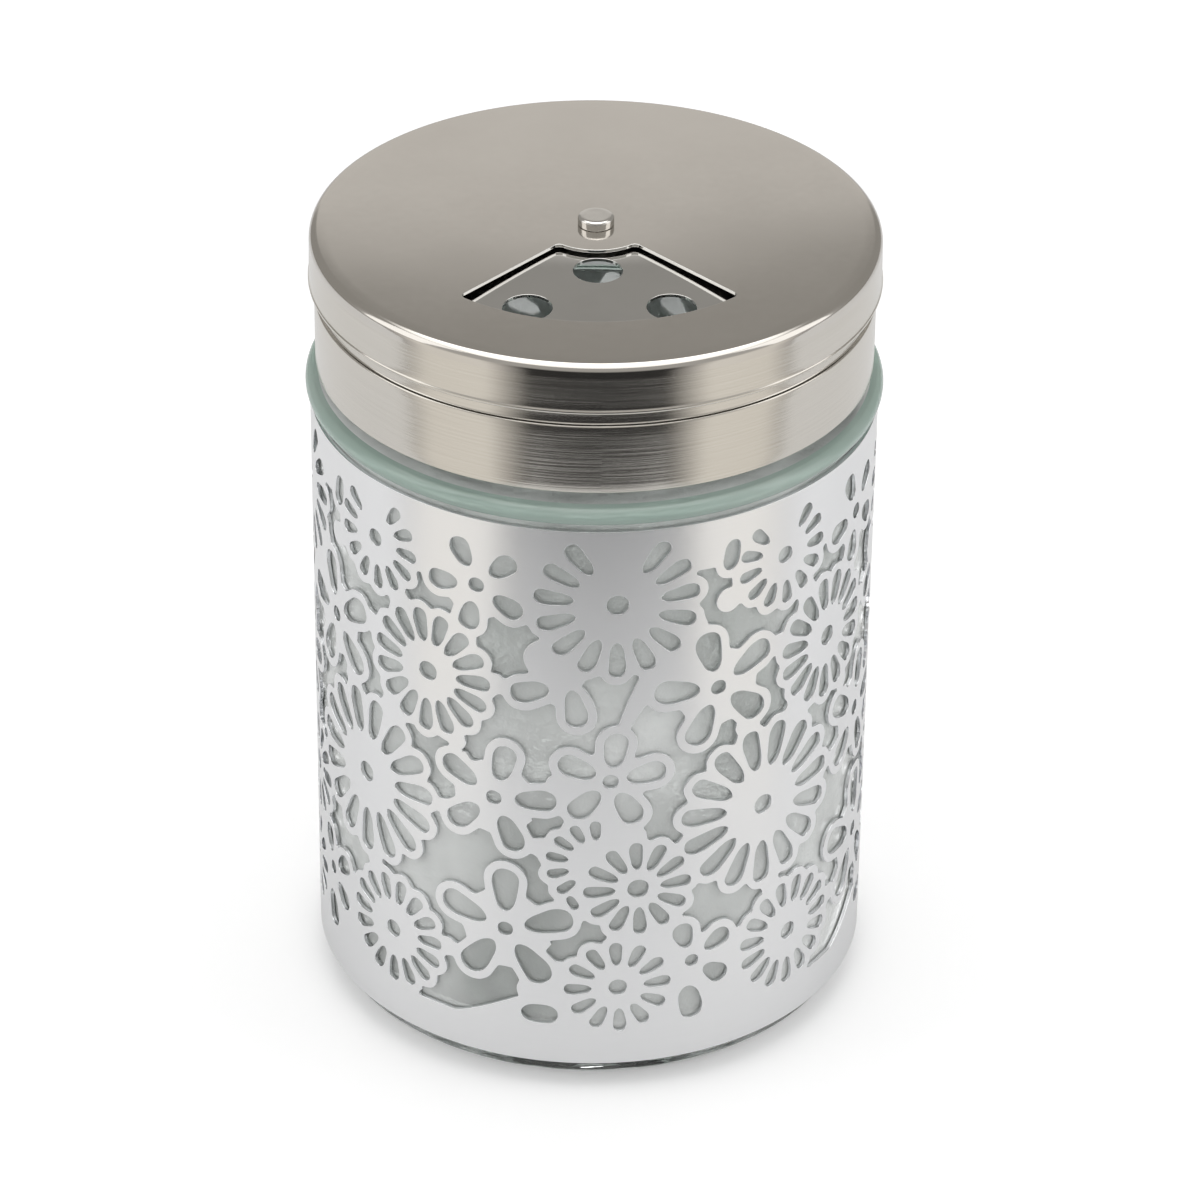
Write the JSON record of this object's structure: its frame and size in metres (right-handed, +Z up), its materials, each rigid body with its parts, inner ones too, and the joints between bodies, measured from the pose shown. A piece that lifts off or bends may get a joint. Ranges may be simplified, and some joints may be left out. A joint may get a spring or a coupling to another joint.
{
  "type": "spice jar",
  "caption": "Round glass spice jar in a pierced floral steel sleeve, with a screw cap and a turning shaker dial whose window selects a field of holes.",
  "frame": {"origin": "middle of the jar's base, on the jar's axis, on the surface that the jar stands on", "axes": "+Z up along the jar's axis, -Y towards the front, where the dial's window is at rest"},
  "size_m": [0.067, 0.067, 0.0991],
  "materials": {
    "clear_glass": "clear, faint green in the thick edges",
    "bright_steel": "bright polished",
    "cap_steel": "polished top, finely brushed skirt",
    "white_plastic": "moulded, semi-matt",
    "soft_seal": "soft, matt"
  },
  "bodies": {
    "jar": {"glass_jar": "clear_glass", "floral_sleeve": "bright_steel"},
    "seal": {"sealing_ring": "soft_seal"},
    "cap": {"screw_cap": "cap_steel", "thread_insert": "white_plastic", "pivot_rivet": "bright_steel", "friction_washer": "white_plastic", "backing_washer": "bright_steel"},
    "dial": {"shaker_dial": "cap_steel"}
  },
  "joints": [
    {"name": "lid_lift", "type": "slide", "parent": "jar", "child": "seal", "axis": [0, 0, 1], "range_m": [0, 0.0201]},
    {"name": "lid_turn", "type": "hinge", "parent": "seal", "child": "cap", "pos_m": [0, 0, 0.0885], "axis": [0, 0, 1], "range_deg": [0, 1800]},
    {"name": "dial_turn", "type": "hinge", "parent": "cap", "child": "dial", "pos_m": [0, 0, 0.0977], "axis": [0, 0, 1], "continuous": true}
  ],
  "couplings": [
    {"joint": "lid_lift", "follows": "lid_turn", "m_per_rad": 0.00063662}
  ]
}
